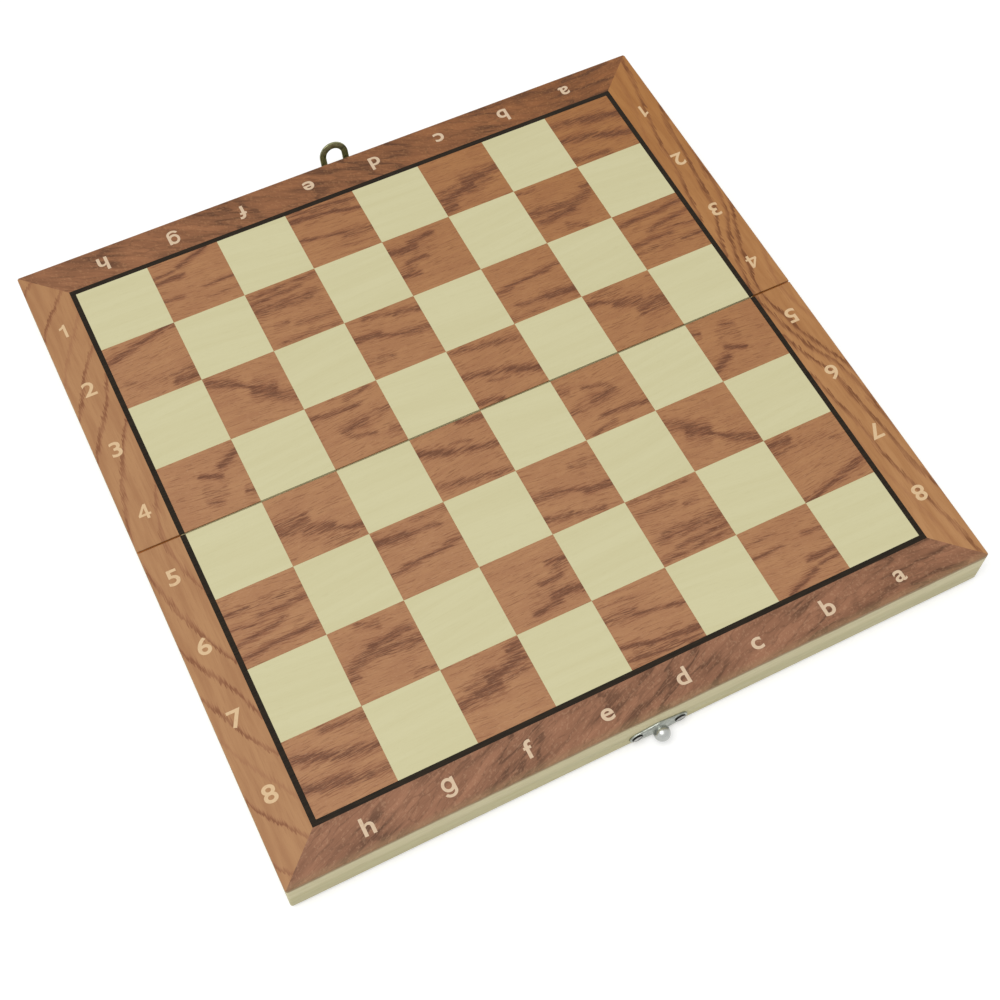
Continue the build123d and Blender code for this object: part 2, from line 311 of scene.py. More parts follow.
def panel_wood():
    # Three-ply board: the middle ply shows faintly, and a painted shadow darkens its outer edge just
    # below the veneer
    light, dark = tone(216, 206, 167), tone(202, 190, 148)
    material, sheet, sockets = finish("panel_wood", light, roughness=0.6, specular=0.25)
    place = sheet.place()
    x, y, height = sheet.split(place)
    aside, away = sheet.unsigned(x), sheet.unsigned(y)
    grain = fibres(sheet, place, length=18.0, width=0.6, waver=2.0, seed=4.0)
    colour = sheet.tint(light, grain["Bands"], 0.6, dark)
    low, high = MIDDLE_PLY
    ply = sheet.times(sheet.spread(height, low - 0.1 * MM, low + 0.1 * MM),
                      sheet.spread(height, high - 0.1 * MM, high + 0.1 * MM, 1.0, 0.0))
    colour = sheet.tint(colour, ply, 0.12, tone(176, 152, 108))
    # Painted shadow under the veneer's edge: the outer faces are painted brown towards the top, with a
    # ragged border
    beyond = sheet.larger(sheet.minus(aside, HALF_WIDTH - OUTER_SKIN),
                          sheet.minus(away, HALF_DEPTH - OUTER_SKIN))
    edge_wobble = sheet.times(sheet.noise(place, scale=150.0), 1.2 * MM)
    edge = sheet.times(sheet.spread(beyond, 0.0, 0.1 * MM),
                       sheet.spread(sheet.plus(height, edge_wobble), *EDGE_SHADE, 0.0, 0.95))
    colour = sheet.blend(edge, colour, tone(140, 110, 72))
    # Painted shade in the fold: between the side borders, the faces in the gap are painted orange-brown
    # towards the top
    gap = sheet.times(sheet.spread(away, FOLD_FACE + 0.1 * MM, FOLD_FACE + 0.3 * MM, 1.0, 0.0),
                      sheet.spread(aside, LINE_EDGE - 1.0 * MM, LINE_EDGE))
    fold_gap_shade = sheet.times(sheet.spread(height, *FOLD_SHADE), gap)
    sheet.link(sheet.blend(fold_gap_shade, colour, tone(200, 128, 60)), sockets["Base Color"])
    bump(sheet, sockets, grain["Streaks"], depth=0.04, strength=0.4)
    return material


def light_veneer():
    light, dark = tone(208, 202, 160), tone(202, 195, 151)
    material, sheet, sockets = finish("light_veneer", light, roughness=0.42, specular=0.35)
    figure = sheet.attribute("figure")["Vector"]
    grain = fibres(sheet, figure, length=22.0, width=0.8, waver=3.0, seed=2.0)
    share = sheet.plus(sheet.times(grain["Bands"], 0.6), sheet.times(grain["Streaks"], 0.25))
    colour = sheet.blend(share, light, dark)
    colour = sheet.tint(colour, grain["Pores"], 0.07, tone(170, 158, 110))
    lay(sheet, sockets, colour, grain, smoothest=0.36, roughest=0.5)
    bump(sheet, sockets, grain["Streaks"], depth=0.02, strength=0.3)
    return material


FLAME_NAMES = ("flame_one", "flame_two", "flame_three", "flame_four", "flame_five", "flame_six")


def dark_veneer():
    # Reddish veneer: dark dashes gather where a square's flames cross it
    light, middle, dark = tone(176, 128, 88), tone(164, 115, 79), tone(92, 52, 30)
    material, sheet, sockets = finish("dark_veneer", middle, roughness=0.42, specular=0.3)
    figure = sheet.attribute("figure")["Vector"]
    grain = fibres(sheet, figure, length=6.0, width=0.34, waver=2.0, seed=5.0)
    fine = fibres(sheet, figure, length=6.5, width=0.5, waver=3.0, seed=6.0)
    patch = sheet.spread(sheet.noise(figure, scale=90.0), 0.3, 0.7)
    share = sheet.plus(sheet.times(grain["Bands"], 0.6), sheet.times(patch, 0.4))
    colour = sheet.blend(share, light, middle)
    drift = sheet.times(sheet.minus(sheet.noise(figure, scale=110.0), 0.5), 1.8)
    core = wash = 0.0
    for name in FLAME_NAMES:
        # Each flame holds the distance from its middle line in widths, the run along it, its strength
        across, along, strength = sheet.split(sheet.attribute(name)["Vector"])
        away = sheet.unsigned(sheet.plus(across, drift))
        held = sheet.times(sheet.spread(sheet.unsigned(along), 0.75, 1.25, 1.0, 0.0), strength)
        core = sheet.larger(core, sheet.times(sheet.spread(away, 0.1, 1.9, 1.0, 0.0), held))
        wash = sheet.larger(wash, sheet.times(sheet.spread(away, 0.0, 3.6, 1.0, 0.0), held))
    need = sheet.minus(0.98, sheet.times(core, 0.7))
    dash = sheet.spread(sheet.minus(grain["Streaks"], need), -0.18, 0.2)
    # Fainter lines lie all over the square and are denser beside the flames
    need = sheet.minus(0.86, sheet.times(wash, 0.5))
    line = sheet.spread(sheet.minus(fine["Streaks"], need), -0.16, 0.2)
    colour = sheet.tint(colour, wash, 0.34, tone(144, 92, 66))
    colour = sheet.tint(colour, line, 0.56, tone(119, 70, 43))
    colour = sheet.tint(colour, core, 0.22, tone(122, 74, 50))
    colour = sheet.tint(colour, dash, 0.74, dark)
    colour = sheet.tint(colour, grain["Pores"], 0.24, tone(200, 156, 122))
    lay(sheet, sockets, stained(sheet, colour), grain, smoothest=0.36, roughest=0.5)
    bump(sheet, sockets, sheet.minus(grain["Streaks"], dash), depth=0.03, strength=0.35)
    return material


def river(sheet, point, narrow, wide, amount):
    # Thin dark lines where a slow noise crosses its middle, as late wood does in a flat-sawn leaf
    away = sheet.unsigned(sheet.minus(sheet.noise(point), 0.5))
    core = sheet.spread(away, narrow * 0.3, narrow, 1.0, 0.0)
    soft = sheet.spread(away, narrow * 0.5, wide, amount, 0.0)
    return sheet.larger(core, soft)


def end_border_veneer():
    # Redder veneer for the two ends, its figure leaning across the border and mirrored at the fold
    light, middle, dark = tone(160, 112, 83), tone(142, 97, 70), tone(86, 54, 33)
    material, sheet, sockets = finish("end_border_veneer", middle, roughness=0.45, specular=0.3)
    x, y, z = sheet.split(sheet.place())
    # Contours climb steadily along the left half and flatten more and more along the right one
    bend = sheet.times(sheet.math("POWER", sheet.larger(x, 0.0), 3.0), 12.0)
    level = sheet.plus(sheet.unsigned(y), sheet.minus(sheet.times(x, 0.42), bend))
    flow = sheet.join(x, level, z)
    grain = fibres(sheet, flow, length=5.0, width=0.5, waver=4.0, seed=9.0)
    colour = sheet.blend(grain["Bands"], light, middle)
    cloud = sheet.spread(sheet.noise(flow, scale=55.0), 0.35, 0.7, 0.0, 0.35)
    colour = sheet.blend(cloud, colour, tone(134, 90, 64))
    # Large and small veins, which come and go along the border and break up with the streaks
    point = sheet.join(sheet.over(x, 26 * MM), sheet.over(level, 6.5 * MM), 3.7)
    main = river(sheet, point, narrow=0.06, wide=0.17, amount=0.5)
    point = sheet.join(sheet.over(x, 13 * MM), sheet.over(level, 3.4 * MM), 8.2)
    small = river(sheet, point, narrow=0.035, wide=0.1, amount=0.4)
    held = sheet.spread(sheet.noise(flow, scale=34.0, detail=1.0), 0.38, 0.6, 0.25, 1.0)
    rough = sheet.spread(grain["Streaks"], 0.0, 0.6, 0.5, 1.0)
    vein = sheet.times(sheet.larger(sheet.times(main, held), sheet.times(small, 0.5)), rough)
    colour = sheet.tint(colour, vein, 0.9, dark)
    colour = sheet.tint(colour, sheet.spread(grain["Streaks"], 0.66, 1.0), 0.26, tone(112, 74, 52))
    fleck = sheet.spread(sheet.noise(flow, scale=1100.0, detail=1.0), 0.56, 0.68)
    colour = sheet.tint(colour, fleck, 0.2, tone(196, 154, 120))
    # The veneer of the near end is paler and more olive along its outer edge, and the far one is painted
    # more orange, as part of the painted shade towards the far end
    paler_edge = sheet.spread(sheet.times(y, -1.0), HALF_DEPTH - 3.2 * MM, HALF_DEPTH, 0.0, 0.3)
    colour = sheet.blend(paler_edge, colour, tone(156, 134, 96))
    far = sheet.spread(y, 0.0, 1.0 * MM)
    colour = sheet.blend(far, colour, (1.0, 0.95, 0.82, 1), "MULTIPLY")
    lay(sheet, sockets, stained(sheet, colour), grain, smoothest=0.38, roughest=0.54)
    bump(sheet, sockets, sheet.minus(grain["Streaks"], vein), depth=0.03, strength=0.4)
    return material


def vein_ramp(sheet, value, low, high, wide, veins):
    # A mask with one dark line for each vein (level in mm, strength); each fades slowly on one side
    ramp = sheet.node("ValToRGB", {0: sheet.spread(value, low * MM, high * MM, smooth=False)})
    stops = ramp.color_ramp.elements
    stops[0].color, stops[1].color = (0, 0, 0, 1), (0, 0, 0, 1)
    for level, strength in veins:
        for offset, share in ((-2.4, 0.0), (-0.45, 0.85), (0.3, 1.0), (0.9, 0.0)):
            stop = stops.new((level + offset * wide - low) / (high - low))
            stop.color = (share * strength,) * 3 + (1,)
    return ramp.outputs[0]


def side_border_veneer(name, side, light, middle, dark, wide, veins, seed):
    # Orange veneer with long dark veins that run from the fold to the corners, mirrored at the fold
    material, sheet, sockets = finish(name, middle, roughness=0.45, specular=0.3)
    x, y, z = sheet.split(sheet.place())
    out, run = sheet.times(x, float(side)), sheet.unsigned(y)
    grain = fibres(sheet, sheet.join(run, out, z), length=7.0, width=0.5, waver=2.0, seed=seed)
    if side < 0:
        # Veins that lean inwards, and more and more so towards the corner, with levels in mm
        lean = sheet.plus(sheet.times(run, 0.2), sheet.times(sheet.times(run, run), 1.9))
        low, high = 126.0, 212.0
    else:
        # Veins that run outwards towards the corner, with an S bend near the fold, and their levels
        lean = sheet.plus(sheet.times(run, -0.14), sheet.spread(run, 12 * MM, 57 * MM, 0.0, -7 * MM))
        low, high = 98.0, 146.0
    flow = sheet.join(run, out, seed)
    jag = sheet.times(sheet.minus(grain["Streaks"], 0.5), 1.5 * MM)
    wander = sheet.times(sheet.minus(sheet.noise(flow, scale=38.0, detail=1.0), 0.5), 6.0 * MM)
    across = sheet.plus(sheet.plus(out, lean), sheet.plus(jag, wander))
    vein = vein_ramp(sheet, across, low, high, wide, veins)
    colour = sheet.blend(grain["Bands"], light, middle)
    colour = sheet.blend(sheet.spread(vein, 0.0, 0.4, 0.0, 0.4), colour, tone(150, 98, 68))
    broken = sheet.spread(sheet.noise(flow, scale=110.0), 0.35, 0.62, 0.35, 1.0)
    core = sheet.times(sheet.spread(vein, 0.3, 0.85), broken)
    colour = sheet.tint(colour, core, 0.9, dark)
    faint = sheet.spread(grain["Streaks"], 0.75, 1.0, 0.0, 0.2)
    colour = sheet.blend(faint, colour, tone(140, 92, 62))
    # Painted shade: the border is painted darker brown along its edge at the fold
    fold_edge_shade = sheet.spread(run, 0.3 * MM, 1.0 * MM, 0.18, 0.0)
    colour = sheet.blend(fold_edge_shade, colour, tone(110, 66, 24))
    lay(sheet, sockets, stained(sheet, colour), grain, smoothest=0.38, roughest=0.54)
    bump(sheet, sockets, sheet.minus(grain["Streaks"], core), depth=0.03, strength=0.35)
    return material


def line_veneer():
    material, sheet, sockets = finish("line_veneer", tone(32, 25, 17), roughness=0.55, specular=0.12)
    grain = fibres(sheet, sheet.place(), length=6.0, width=0.5, waver=0.5, seed=3.0)
    colour = sheet.blend(grain["Streaks"], tone(26, 20, 12), tone(42, 33, 22))
    sheet.link(colour, sockets["Base Color"])
    bump(sheet, sockets, grain["Streaks"], depth=0.02, strength=0.3)
    return material


def printing_ink():
    # Thin cream ink: the orange veneer of the sides shows through it more than that of the ends
    material, sheet, sockets = finish("printed_cream", tone(214, 188, 156), roughness=0.5, specular=0.3)
    place = sheet.place()
    aside = sheet.spread(sheet.unsigned(sheet.split(place)[0]), LINE_EDGE - 3.0 * MM, LINE_EDGE)
    colour = sheet.blend(aside, tone(214, 189, 159), tone(218, 186, 144))
    wear = sheet.spread(sheet.noise(place, scale=900.0), 0.5, 0.75, 0.0, 0.3)
    sheet.link(sheet.blend(wear, colour, tone(190, 150, 112)), sockets["Base Color"])
    return material


def felt():
    material, sheet, sockets = finish("lining_felt", tone(34, 74, 52), roughness=0.95, specular=0.1,
                                      **{"Sheen Weight": 0.4, "Sheen Roughness": 0.5})
    place = sheet.place()
    fibre = sheet.noise(place, scale=2600.0, detail=3.0, roughness=0.7)
    colour = sheet.blend(sheet.spread(fibre, 0.3, 0.7), tone(24, 60, 40), tone(52, 96, 70))
    patch = sheet.spread(sheet.noise(place, scale=60.0), 0.35, 0.7, 0.0, 0.35)
    sheet.link(sheet.blend(patch, colour, tone(40, 84, 58)), sockets["Base Color"])
    bump(sheet, sockets, fibre, depth=0.25, strength=0.7)
    return material


# ---- Metal finishes ------------------------------------------------------------------------------

def plated(name, base, rough, mottled=0.12, dark_recesses=False):
    # Plated sheet: faint brushing and cloudy patches
    material, sheet, sockets = finish(name, base, rough, 0.5, Metallic=1.0)
    place = sheet.place()
    cloud = sheet.noise(place, scale=420.0, detail=3.0)
    brushed = sheet.node("Mapping", {"Vector": place, "Scale": (600, 4200, 4200)}).outputs[0]
    scratch = sheet.noise(brushed, detail=1.0)
    darker = tuple(c * (1 - 2.2 * mottled) for c in base[:3]) + (1.0,)
    colour = sheet.blend(sheet.spread(cloud, 0.35, 0.7), base, darker)
    if dark_recesses:
        # Painted shade: the slot's floor and the foot of the head are painted dark
        recess_shade = sheet.spread(sheet.attribute("recess_shade")["Fac"], 0.1, 0.7)
        colour = sheet.blend(recess_shade, colour, tone(30, 28, 26))
    sheet.link(colour, sockets["Base Color"])
    worn = sheet.plus(sheet.times(scratch, 0.6), sheet.times(cloud, 0.4))
    sheet.link(sheet.spread(worn, 0.3, 0.7, rough * 0.8, min(1.0, rough * 1.35)), sockets["Roughness"])
    bump(sheet, sockets, scratch, depth=0.004, strength=0.25)
    return material


# Level in mm and strength of each long vein; a level is the place across the border plus the lean
LEFT_VEINS = ((134.8, 0.65), (146.8, 0.85), (156.5, 1.0), (167.0, 0.95), (176.0, 0.4), (189.0, 0.9),
              (205.0, 0.7))
RIGHT_VEINS = ((110.0, 0.3), (115.5, 0.8), (123.5, 1.0), (128.3, 0.9), (131.8, 1.0), (140.3, 0.4))
MATERIALS = {
    "rim_along": pale_wood("rim_wood_along", 0, 1.0),
    "rim_across": pale_wood("rim_wood_across", 90, 2.0),
    "panel": panel_wood(),
    "light": light_veneer(),
    "dark": dark_veneer(),
    "end_border": end_border_veneer(),
    "left_border": side_border_veneer("left_border_veneer", -1, tone(177, 131, 89), tone(164, 117, 78),
                                      tone(126, 77, 46), 0.75, LEFT_VEINS, 3.0),
    "right_border": side_border_veneer("right_border_veneer", 1, tone(184, 136, 91), tone(171, 122, 78),
                                       tone(110, 64, 28), 0.8, RIGHT_VEINS, 8.0),
    "line": line_veneer(),
    "ink": printing_ink(),
    "felt": felt(),
    "hinge": plated("hinge_metal", tone(196, 170, 112), rough=0.34),
    # Painted reflection, in part: the catch and ball are painted a darker grey than bright plating, for
    # the darker surroundings they mirror
    "catch": plated("catch_metal", tone(168, 172, 164), rough=0.45),
    "ball": plated("ball_metal", tone(182, 184, 180), rough=0.3, mottled=0.05),
    # Painted reflection: the hasp's plating is painted dark olive, for the dark surroundings it mirrors
    "hasp": plated("hasp_metal", tone(142, 142, 108), rough=0.36, mottled=0.28),
    "screw": plated("screw_steel", tone(176, 176, 172), rough=0.34, dark_recesses=True),
}


# ---- New pieces ----------------------------------------------------------------------------------

# In degrees: faces that meet at less than the first angle are merged, edges above the second are rounded
# over, and edges above the third break the smooth shading
FLAT_ANGLE = 0.5
ROUNDED_ANGLE = 25
SHADING_ANGLE = 35


def stand(name, data):
    made = bpy.data.objects.new(name, data)
    bpy.context.scene.collection.objects.link(made)
    return made


def cast(name, shape):
    # Turns a shape into a mesh
    mesh = bpy.data.meshes.new(name)
    shape.to_mesh(mesh)
    shape.free()
    return mesh


def pour(shape, whole):
    # Adds one shape to another
    mesh = cast("poured", shape)
    whole.from_mesh(mesh)
    bpy.data.meshes.remove(mesh)


def spin(shape, angle):
    bmesh.ops.rotate(shape, verts=shape.verts, cent=(0, 0, 0), matrix=Matrix.Rotation(angle, 3, "Z"))


def round_over(shape, edges, width, segments):
    return bmesh.ops.bevel(shape, geom=edges, offset=width, offset_type="OFFSET", segments=segments,
                           profile=0.5, affect="EDGES", clamp_overlap=True, material=-1)


def dress(piece, material):
    piece.data.materials.clear()
    piece.data.materials.append(MATERIALS[material])


def new_piece(name, shape, body, material, replaces=()):
    # Turns a shape into a finished piece of the object
    bmesh.ops.recalc_face_normals(shape, faces=shape.faces)
    piece = stand(name, cast(name, shape))
    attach(piece, body)
    if replaces:
        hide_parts(*replaces)
    dress(piece, material)
    return piece


def smooth(piece):
    # Smooth shading that breaks at real edges
    for face in piece.data.polygons:
        face.use_smooth = True
    shape = bmesh.new()
    shape.from_mesh(piece.data)
    for edge in shape.edges:
        edge.smooth = len(edge.link_faces) == 2 and edge.calc_face_angle(0) < math.radians(SHADING_ANGLE)
    shape.to_mesh(piece.data)
    shape.free()


def eased(node, material, rounding, segments=2, ending="eased"):
    # A copy of a CAD node, its triangles merged into whole faces and its hard edges rounded over, in mm
    shape = bmesh.new()
    shape.from_mesh(frame["nodes"][node].data)
    bmesh.ops.remove_doubles(shape, verts=shape.verts, dist=1e-6)
    bmesh.ops.dissolve_limit(shape, angle_limit=math.radians(FLAT_ANGLE), verts=shape.verts,
                             edges=shape.edges)
    hard = [e for e in shape.edges
            if len(e.link_faces) == 2 and e.calc_face_angle(0) > math.radians(ROUNDED_ANGLE)]
    round_over(shape, hard, rounding * MM, segments)
    smooth(new_piece(f"{node}_{ending}", shape, frame["nodes"][node]["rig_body"], material, [node]))


# One dark square's flames: from (along, up) to (along, up) in shares of the square, half width in
# shares, strength. Squares are counted from the left and from the fold. The far half is cut from the
# same leaf and turned half round.
FLAMES = {
    (1, 0): ((-0.05, 0.60, 0.42, 0.60, 0.02, 0.95), (-0.05, 0.50, 0.45, 0.49, 0.08, 0.85),
             (0.25, 0.40, 0.70, 0.27, 0.07, 0.8), (0.60, 0.26, 1.05, 0.13, 0.035, 0.9),
             (0.45, 0.10, 1.05, 0.08, 0.05, 0.4)),
    (3, 0): ((-0.05, 0.76, 0.50, 0.57, 0.05, 1.0), (0.45, 0.59, 1.05, 0.45, 0.04, 0.8),
             (-0.05, 0.21, 1.05, 0.04, 0.035, 0.7), (0.62, 0.96, 1.05, 0.90, 0.03, 0.95),
             (0.42, 0.72, 0.70, 0.66, 0.02, 0.5)),
    (5, 0): ((-0.05, 0.82, 0.15, 0.72, 0.05, 0.5), (0.30, 0.73, 0.68, 0.62, 0.03, 0.65),
             (-0.05, 0.44, 0.38, 0.44, 0.03, 0.5), (0.30, 0.45, 0.72, 0.54, 0.05, 0.75),
             (0.32, 0.24, 1.05, 0.19, 0.03, 0.85), (0.10, 0.03, 0.50, 0.10, 0.03, 0.6)),
    (7, 0): ((-0.05, 0.15, 0.30, 0.34, 0.045, 1.0), (0.28, 0.46, 0.56, 0.33, 0.03, 1.0),
             (0.38, 0.81, 0.62, 0.72, 0.04, 0.5), (-0.05, 0.82, 0.12, 0.76, 0.05, 0.6),
             (0.30, 0.68, 0.60, 0.60, 0.06, 0.35)),
    (0, 1): ((-0.05, 0.74, 0.35, 0.74, 0.03, 0.7), (0.35, 0.72, 1.05, 0.72, 0.04, 0.4),
             (0.35, 0.58, 1.05, 0.58, 0.03, 0.85), (-0.05, 0.54, 0.42, 0.48, 0.03, 0.65),
             (-0.05, 0.30, 0.68, 0.43, 0.03, 0.75), (-0.05, 0.13, 1.05, 0.20, 0.03, 0.95)),
    (2, 1): ((-0.05, 0.83, 0.45, 0.80, 0.055, 1.0), (0.35, 0.79, 0.85, 0.76, 0.03, 0.7),
             (-0.05, 0.36, 0.40, 0.38, 0.035, 0.75), (0.20, 0.41, 0.90, 0.42, 0.02, 1.0),
             (0.72, 0.45, 1.05, 0.47, 0.03, 0.8), (0.50, 0.93, 1.05, 0.93, 0.03, 0.4)),
    (4, 1): ((0.60, 0.76, 1.05, 0.69, 0.04, 0.45), (-0.05, 0.55, 0.45, 0.46, 0.045, 0.75),
             (0.40, 0.47, 0.75, 0.38, 0.03, 0.8), (0.60, 0.38, 1.05, 0.31, 0.045, 1.0),
             (-0.05, 0.21, 0.38, 0.14, 0.04, 0.75), (0.35, 0.12, 0.80, 0.05, 0.04, 0.6)),
    (6, 1): ((-0.05, 0.80, 0.28, 0.60, 0.06, 0.7), (0.18, 0.58, 0.50, 0.42, 0.09, 1.0),
             (0.40, 0.43, 0.68, 0.24, 0.03, 0.9), (0.60, 0.28, 1.00, 0.06, 0.07, 0.9)),
    (1, 2): ((0.33, 0.96, 0.62, 0.84, 0.035, 0.6), (0.35, 0.64, 0.95, 0.65, 0.045, 1.0),
             (0.02, 0.42, 0.45, 0.60, 0.06, 0.75), (-0.05, 0.33, 0.15, 0.36, 0.04, 0.8),
             (0.35, 0.53, 1.05, 0.46, 0.06, 0.7), (0.70, 0.07, 1.05, 0.10, 0.03, 0.5)),
    (3, 2): ((0.30, 0.12, 0.72, 0.19, 0.045, 0.9), (0.58, 0.26, 1.05, 0.23, 0.05, 1.0),
             (0.52, 0.46, 0.88, 0.47, 0.035, 0.85), (0.72, 0.69, 1.05, 0.66, 0.03, 0.8),
             (0.70, 0.58, 1.05, 0.57, 0.06, 0.35), (0.45, 0.32, 0.80, 0.34, 0.05, 0.35)),
    (5, 2): ((0.00, 0.95, 0.90, 0.94, 0.03, 0.5), (0.05, 0.76, 0.60, 0.73, 0.03, 0.6),
             (0.62, 0.66, 0.85, 0.65, 0.025, 0.6), (0.10, 0.36, 1.05, 0.35, 0.07, 0.65),
             (0.25, 0.16, 1.05, 0.20, 0.03, 0.85), (-0.05, 0.07, 1.05, 0.09, 0.03, 0.7)),
    (7, 2): ((-0.05, 0.91, 0.32, 0.84, 0.06, 0.9), (-0.05, 0.76, 0.35, 0.77, 0.03, 0.7),
             (0.35, 0.80, 0.95, 0.65, 0.05, 0.3), (0.15, 0.05, 0.70, 0.13, 0.03, 1.0),
             (0.55, 0.13, 1.05, 0.26, 0.04, 0.85), (-0.05, 0.02, 0.20, 0.03, 0.03, 0.7)),
    (0, 3): ((0.40, 0.95, 1.05, 0.89, 0.035, 0.65), (-0.05, 0.75, 0.55, 0.61, 0.045, 1.0),
             (0.40, 0.58, 1.05, 0.50, 0.045, 0.8), (-0.05, 0.37, 0.60, 0.26, 0.06, 0.95),
             (0.45, 0.24, 1.05, 0.18, 0.05, 0.7)),
    (2, 3): ((-0.05, 0.47, 0.60, 0.53, 0.06, 0.9), (0.20, 0.53, 0.60, 0.55, 0.05, 1.0),
             (0.40, 0.60, 1.00, 0.76, 0.08, 1.0), (0.15, 0.62, 0.60, 0.74, 0.04, 0.6),
             (0.78, 0.85, 1.05, 0.92, 0.05, 0.9), (0.55, 0.52, 1.05, 0.62, 0.03, 0.6)),
    (4, 3): ((0.00, 0.87, 0.50, 0.83, 0.02, 0.4), (-0.05, 0.70, 0.45, 0.66, 0.05, 0.7),
             (0.30, 0.63, 1.05, 0.49, 0.025, 0.9), (-0.05, 0.32, 0.40, 0.20, 0.03, 1.0),
             (0.30, 0.20, 1.05, 0.14, 0.035, 1.0), (-0.05, 0.12, 1.05, 0.04, 0.05, 0.6)),
    (6, 3): ((-0.05, 0.82, 0.45, 0.80, 0.02, 0.4), (-0.05, 0.62, 0.45, 0.61, 0.02, 0.8),
             (0.70, 0.65, 1.05, 0.64, 0.02, 0.85), (0.58, 0.31, 1.05, 0.33, 0.03, 1.0),
             (0.68, 0.22, 1.05, 0.23, 0.025, 0.8), (0.18, 0.00, 0.66, 0.19, 0.03, 1.0)),
}
NO_FLAME = (0.0,) * 6
# Each square's figure is cut from its own place and turned a little, up to this many degrees
FIGURE_SEEDS = {"light": 43, "dark": 17}
FIGURE_LEAN = 7
SQUARE_EASING = 0.05 * MM


def flame_place(spot, x0, y0, x1, y1, width, strength):
    # Distance from the flame's middle line in half widths, place along it from -1 to 1, strength
    if not strength:
        return Vector((9, 9, 0))
    start, end = Vector((x0, y0)), Vector((x1, y1))
    along = (end - start).normalized()
    offset = Vector((spot.x, spot.y)) - (start + end) / 2
    across = offset.dot(Vector((-along.y, along.x)))
    return Vector((across / width, 2 * offset.dot(along) / (end - start).length, strength))


def squares(half, side, shade, parity):
    # Sixteen separate veneers, each carrying the place of its own figure as attributes. They are made
    # as on the near half, so that both halves share one leaf.
    chance = random.Random(FIGURE_SEEDS[shade])
    shape = bmesh.new()
    figure = shape.verts.layers.float_vector.new("figure")
    flames = [shape.verts.layers.float_vector.new(n) for n in FLAME_NAMES]
    for row in range(4):
        for column in range(8):
            if (row + column) % 2 != parity:
                continue
            shift = Vector((chance.uniform(-1, 1), chance.uniform(-1, 1), chance.uniform(-1, 1)))
            lean = Matrix.Rotation(math.radians(chance.uniform(-FIGURE_LEAN, FIGURE_LEAN)), 3, "Z")
            low, high = -(row + 1) * SQUARE, -max(row * SQUARE, FOLD_FACE)
            left = column * SQUARE - FIELD
            size = Vector((SQUARE, high - low, BOARD_TOP - VENEER_BOTTOM))
            centre = Vector((left + SQUARE / 2, (low + high) / 2, (BOARD_TOP + VENEER_BOTTOM) / 2))
            made = bmesh.ops.create_cube(shape, size=1.0)["verts"]
            bmesh.ops.scale(shape, vec=size, verts=made)
            bmesh.ops.translate(shape, vec=centre, verts=made)
            top = [e for e in shape.edges if all(v in made and v.co.z > centre.z for v in e.verts)]
            result = round_over(shape, top, SQUARE_EASING, segments=1)
            crossing = FLAMES.get((column, row), ()) + (NO_FLAME,) * len(flames)
            for vert in {v for v in made if v.is_valid} | set(result["verts"]):
                spot = vert.co - Vector((left, low, VENEER_BOTTOM))
                vert[figure] = lean @ spot + shift
                for layer, flame in zip(flames, crossing):
                    vert[layer] = flame_place(spot / SQUARE, *flame)
    if side > 0:
        spin(shape, math.pi)
    name = f"{half}_{shade}_squares"
    new_piece(f"{name}_veneered", shape, f"{half}_half", shade, [name])


# ---- Letters and figures -------------------------------------------------------------------------

PRINT_DEPTH = 0.06 * MM
# How far the print is sunk in the veneer, so that it has no gap below it
PRINT_SUNK = 0.02 * MM
LETTER_SIZE = 9.7 * MM
LETTER_BOLDER = 0.16 * MM
LETTER_WIDEN = 1.16
# From the fold to the line on which the letters stand
LETTER_FOOT = 139.1 * MM
# The near row is printed a little to the left, and the tail of its g hangs below the others' foot
NEAR_SHIFT = -0.6 * MM
G_DROP = 0.4 * MM


def arc(centre, wide, high, start, end, steps=14):
    # Points along part of an ellipse, from one angle to another in degrees
    turns = [math.radians(start + (end - start) * k / steps) for k in range(steps + 1)]
    return [(centre[0] + wide * math.cos(t), centre[1] + high * math.sin(t)) for t in turns]


def cut_out(*loops):
    # A thin solid from a closed outline and the holes in it, in millimetres
    shape = bmesh.new()
    for loop in loops:
        verts = [shape.verts.new((x * MM, y * MM, 0)) for x, y in loop]
        for first, second in zip(verts, verts[1:] + verts[:1]):
            shape.edges.new((first, second))
    bmesh.ops.triangle_fill(shape, use_beauty=True, use_dissolve=False, edges=shape.edges)
    made = bmesh.ops.extrude_face_region(shape, geom=shape.faces[:])["geom"]
    bmesh.ops.translate(shape, vec=(0, 0, PRINT_DEPTH),
                        verts=[v for v in made if isinstance(v, bmesh.types.BMVert)])
    return shape


def digit_one():
    # A plain one with a flag and no foot, which the built-in letters don't have
    return cut_out([(1.95, 0.0), (3.1, 0.0), (3.1, 6.7), (2.25, 6.7), (1.9, 6.1), (1.3, 5.6),
                    (0.4, 5.3), (0.4, 4.25), (1.25, 4.5), (1.95, 4.9)])


def digit_four():
    # A four with a straight slope and a stem that stands on the foot line
    return cut_out([(2.9, 0.0), (4.05, 0.0), (4.05, 1.5), (4.95, 1.5), (4.95, 2.5), (4.05, 2.5),
                    (4.05, 6.7), (3.0, 6.7), (0.0, 2.35), (0.0, 1.5), (2.9, 1.5)],
                   [(1.25, 2.5), (2.9, 2.5), (2.9, 4.95)])


def letter_g():
    # A single-storey g: a round bowl, a straight stem and an open hook
    stem, right, top = 3.9, 5.05, 5.05
    bowl, hook = (2.45, 2.5), (2.4, 0.0)
    outline = [(right, top)]
    outline += arc(hook, 2.65, 2.15, 0, -158)
    outline += arc(hook, 1.5, 1.1, -158, 0)
    outline += arc(bowl, 2.5, 2.65, -54.5, -305.5, steps=30)
    outline += [(stem, top)]
    return cut_out(outline, arc(bowl, 1.35, 1.5, 0, 345, steps=23))


